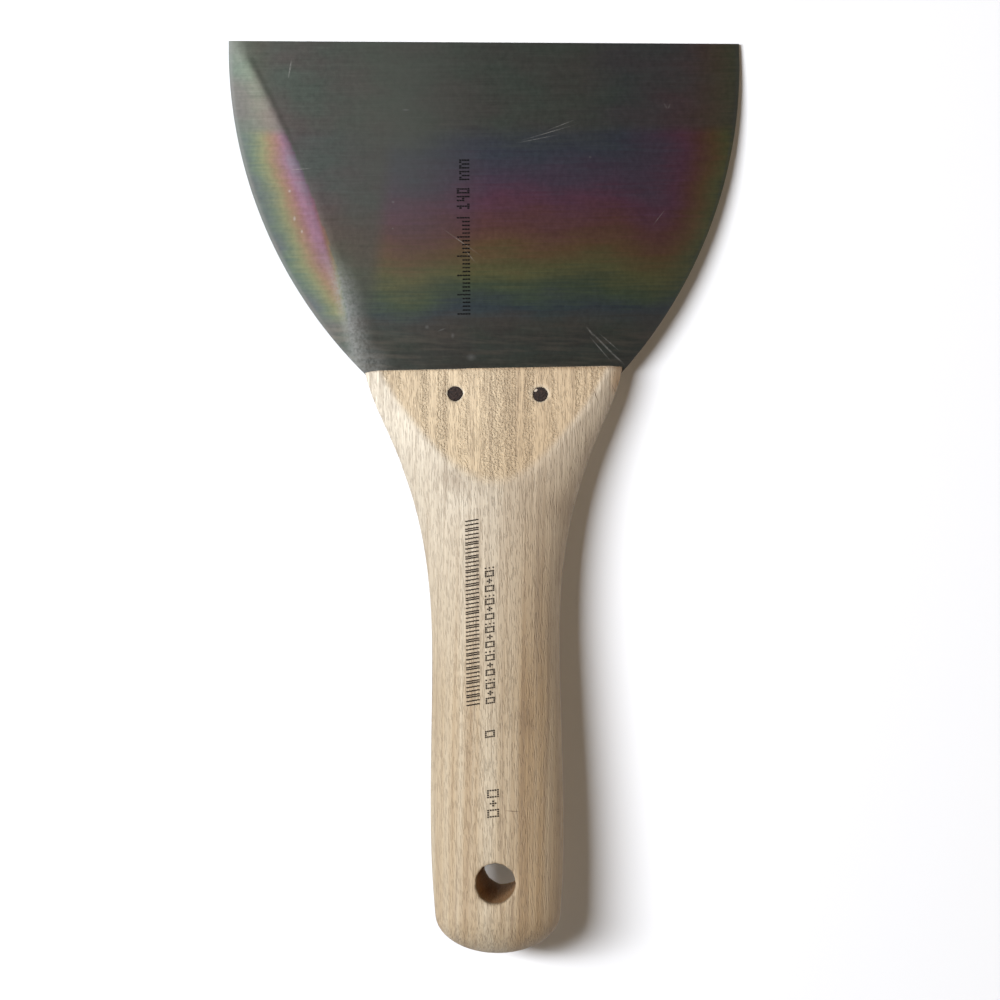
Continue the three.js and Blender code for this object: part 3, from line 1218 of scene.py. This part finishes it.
    def bend_wing(self, piece: bpy.types.Object) -> None:
        """Bends the left wing back beyond the crease.

        Args:
            piece: the flat sheet.
        """
        group = piece.vertex_groups.new(name="wing")
        deepest = 20.0
        for vertex in piece.data.vertices:
            group.add([vertex.index], min(1.0, self.beyond_crease(vertex.co) / deepest), "REPLACE")
        use_modifier(
            piece,
            "DISPLACE",
            direction="Z",
            mid_level=0,
            strength=-deepest * math.tan(self.wing_bend),
            vertex_group="wing",
        )


@dataclass
class Pin:
    """Steel pin through the handle and the tang, cut off rough and a little below the flats: millimetres."""

    node: str
    x: float
    y: float
    half_length: float
    radius: float = 1.95
    wander: float = 0.1
    worn_edge: float = 0.25

    def build(self) -> bpy.types.Object:
        """Models the pin.

        Returns:
            The piece, in the tool's frame.
        """
        bpy.ops.object.select_all(action="DESELECT")
        bpy.ops.mesh.primitive_cylinder_add(
            vertices=48, radius=self.radius, depth=2 * self.half_length, location=(self.x, self.y, 0)
        )
        piece = named(self.node + "_steel")
        bpy.ops.object.mode_set(mode="EDIT")
        bpy.ops.mesh.select_all(action="SELECT")
        bpy.ops.transform.vertex_random(offset=self.wander, uniform=0.0, normal=0.0, seed=3)
        bpy.ops.object.mode_set(mode="OBJECT")
        use_modifier(piece, "BEVEL", width=self.worn_edge, segments=3, limit_method="ANGLE")
        smooth(piece)
        return piece


class Glyph(Enum):
    """Dot-matrix shapes, five dots high, each string a column from left to right."""

    ONE = ("01001", "11111", "00001")
    FOUR = ("11100", "00100", "11111")
    ZERO = ("11111", "10001", "11111")
    M = ("01111", "01000", "00111", "01000", "01111")
    GAP = ("00000", "00000")
    TICK = ("00111",)
    LONG_TICK = ("11111",)
    BAND = ("11111", "11111")
    BOX = ("11111", "10001", "10001", "11111")
    CROSS = ("00100", "01110", "00100")
    DOTS = ("10101", "00000")


# A plain ladder, plain shapes, and a plain scale that ends in the blade's width.
PRINTED_BARS = (Glyph.LONG_TICK, Glyph.LONG_TICK, Glyph.BAND) * 13 + (Glyph.LONG_TICK,) * 2
PRINTED_DOTS = (Glyph.BOX, Glyph.CROSS, Glyph.BOX, Glyph.DOTS) * 5
PRINTED_END = (Glyph.BOX, Glyph.CROSS, Glyph.BOX)
PRINTED_WIDTH = (Glyph.ONE, Glyph.FOUR, Glyph.ZERO, Glyph.GAP, Glyph.M, Glyph.M)
PRINTED_SIZE = (Glyph.LONG_TICK, *(Glyph.TICK,) * 4) * 5 + (Glyph.LONG_TICK, Glyph.GAP) + PRINTED_WIDTH


@dataclass
class Print:
    """Row of dot-matrix shapes in ink, read from the butt towards the blade.

    Args:
        name: the piece's name.
        x: the row's middle line, in millimetres.
        y: where the row starts.
        glyphs: its shapes in order.
        pitch: from dot to dot along and across the row.
        dot: a dot's length and width.
        height: the surface's height and its slope across the tool, at a place.
        slant: how far a dot stands forward for each millimetre across.
        thickness: the ink's, half of it sunk in the surface.
    """

    name: str
    x: float
    y: float
    glyphs: Sequence[Glyph]
    pitch: tuple[float, float]
    dot: tuple[float, float]
    height: Callable[[float, float], tuple[float, float]]
    slant: float = 0.0
    thickness: float = 0.12

    def build(self) -> bpy.types.Object:
        """Models the row.

        Returns:
            The piece, in the tool's frame.
        """
        places = []
        y = self.y
        for glyph in self.glyphs:
            for column in (*glyph.value, "00000"):
                for row, on in enumerate(column):
                    if on == "1":
                        across = (row - 2) * self.pitch[1]
                        places.append((self.x + across, y + self.slant * across))
                y += self.pitch[0]
        bpy.ops.object.select_all(action="DESELECT")
        for count, (x, along) in enumerate(places):
            level, tilt = self.height(x, along)
            bpy.ops.mesh.primitive_cube_add(
                size=1,
                location=(x, along, level),
                rotation=(0, -tilt, 0),
                scale=(self.dot[1], self.dot[0], self.thickness),
            )
            if not count:
                bpy.ops.object.mode_set(mode="EDIT")
        bpy.ops.object.mode_set(mode="OBJECT")
        return named(self.name)


# ---------------------------------------------------------------- the studio


@dataclass
class Studio:
    """Pale floor, soft light from the left and an overhead camera: metres, and the lens in millimetres."""

    camera_height: float = 1.0
    focal_length: float = 131.14
    camera_offset: tuple[float, float] = (0.003405, -0.002528)
    roll: float = math.radians(-0.468)
    floor_size: float = 8.0
    floor_drop: float = 0.0002
    floor_grey: float = 0.77
    floor_roughness: float = 0.8
    sky_foot: float = 0.32
    sky_top: float = 0.04
    sky_fades_by: float = 0.8

    def camera(self) -> None:
        """Adds the overhead camera."""
        data = bpy.data.cameras.new("camera")
        data.lens = self.focal_length
        camera = bpy.data.objects.new("camera", data)
        camera.location = (*self.camera_offset, self.camera_height)
        camera.rotation_euler = (0, 0, self.roll)
        bpy.context.scene.collection.objects.link(camera)
        bpy.context.scene.camera = camera

    def floor(self) -> None:
        """Adds the floor."""
        bpy.ops.object.select_all(action="DESELECT")
        bpy.ops.mesh.primitive_plane_add(size=self.floor_size, location=(0, 0, -self.floor_drop))
        floor = named("floor")
        material = bpy.data.materials.new("floor")
        material.use_nodes = True
        shader = material.node_tree.nodes["Principled BSDF"]
        shader.inputs["Base Color"].default_value = (*(self.floor_grey,) * 3, 1)
        shader.inputs["Roughness"].default_value = self.floor_roughness
        floor.data.materials.append(material)

    def softbox(
        self, name: str, at: tuple[float, float, float], size: tuple[float, float], watts: float, colour: str
    ) -> None:
        """Adds a softbox that faces the tool.

        Args:
            name: the light's name.
            at: its place, in metres.
            size: across and along the tool, in metres.
            watts: its power.
            colour: sRGB hex.
        """
        data = bpy.data.lights.new(name, "AREA")
        data.shape = "RECTANGLE"
        data.size, data.size_y = size
        data.energy = watts
        data.color = linear(colour)[:3]
        box = bpy.data.objects.new(name, data)
        box.location = at
        box.rotation_euler = (-box.location).to_track_quat("-Z", "Y").to_euler()
        bpy.context.scene.collection.objects.link(box)

    def lights(self) -> None:
        """Adds a cool softbox on the left, a weak warm one on the right, and a sky paler at its foot."""
        self.softbox("key", (-0.80, 0.12, 1.34), (0.26, 0.8), 39, "f6f9ff")
        self.softbox("fill", (0.95, 0.1, 1.25), (0.5, 1.0), 3.4, "ffd9a6")
        world = bpy.data.worlds.new("sky")
        bpy.context.scene.world = world
        world.use_nodes = True
        sky = Nodes(world.node_tree)
        height = sky.add("ShaderNodeSeparateXYZ", {0: sky.add("ShaderNodeTexCoord", output="Generated")}, "Z")
        fade = sky.add(
            "ShaderNodeMapRange", {0: height, 1: 0.0, 2: self.sky_fades_by, 3: self.sky_foot, 4: self.sky_top}
        )
        sky.fill(world.node_tree.nodes["Background"], {"Strength": fade, "Color": (1, 1, 1, 1)})
        bpy.context.scene.view_settings.view_transform = "Standard"


def finish_piece(
    piece: bpy.types.Object, place: Matrix, nodes: Sequence[str], material: bpy.types.Material
) -> None:
    """Lays a piece down in the row's frame, dresses it and hides the CAD nodes that it stands for.

    Args:
        piece: the piece, modelled in the tool's frame.
        place: the bed's matrix.
        nodes: the CAD nodes that it stands for.
        material: its finish.
    """
    piece.data.materials.clear()
    piece.data.materials.append(material)
    piece.matrix_world = place
    only(piece)
    bpy.ops.object.transform_apply(location=True, rotation=True, scale=True)
    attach(piece, BODY)
    if nodes:
        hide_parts(*nodes)
    LOG.info("%s: %d faces", piece.name, len(piece.data.polygons))


def main() -> None:
    """Builds the tool and the studio round it."""
    logging.basicConfig(level=logging.INFO, format="%(name)s: %(message)s")
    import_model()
    handle = Handle()
    blade = Blade()
    pins = [
        Pin(node, x, y, handle.flat(y) - PIN_SUNK)
        for node, x, y in (("rivet_left", -10.4, 150.4), ("rivet_right", 12.6, 150.0))
    ]
    prints = [
        Print("handle_bars", -6.1, 66.2, PRINTED_BARS, (0.53, 0.72), (0.36, 0.74), handle.front, 0.15),
        Print("handle_dots", -1.5, 66.6, PRINTED_DOTS, (0.44, 0.52), (0.38, 0.44), handle.front, 0.15),
        Print("handle_box", -1.7, 57.6, (Glyph.BOX,), (0.5, 0.55), (0.4, 0.46), handle.front, 0.15),
        Print("handle_end_row", -1.0, 36.4, PRINTED_END, (0.58, 0.66), (0.42, 0.5), handle.front, 0.1),
    ]
    scale = Print(
        "blade_scale", -7.9, 172.9, PRINTED_SIZE, (0.53, 0.72), (0.4, 0.62), lambda x, y: (blade.thickness / 2, 0)
    )
    place = Bed({pin.node: (pin.x, pin.y) for pin in pins}).matrix()
    studio = Studio()
    studio.camera()
    finish_piece(handle.build(pins), place, ["handle"], RawWood().material(place))
    finish_piece(blade.build(), place, ["blade"], TemperedSteel().material(place))
    ink = Ink().material(place)
    steel_ink = Ink("060505", "0f0d0c").material(place)
    for row in prints:
        finish_piece(row.build(), place, [], ink)
    finish_piece(scale.build(), place, [], steel_ink)
    cut_steel = CutSteel().material(place)
    for pin in pins:
        finish_piece(pin.build(), place, [pin.node], cut_steel)
    studio.floor()
    studio.lights()


if __name__ == "__main__":
    main()
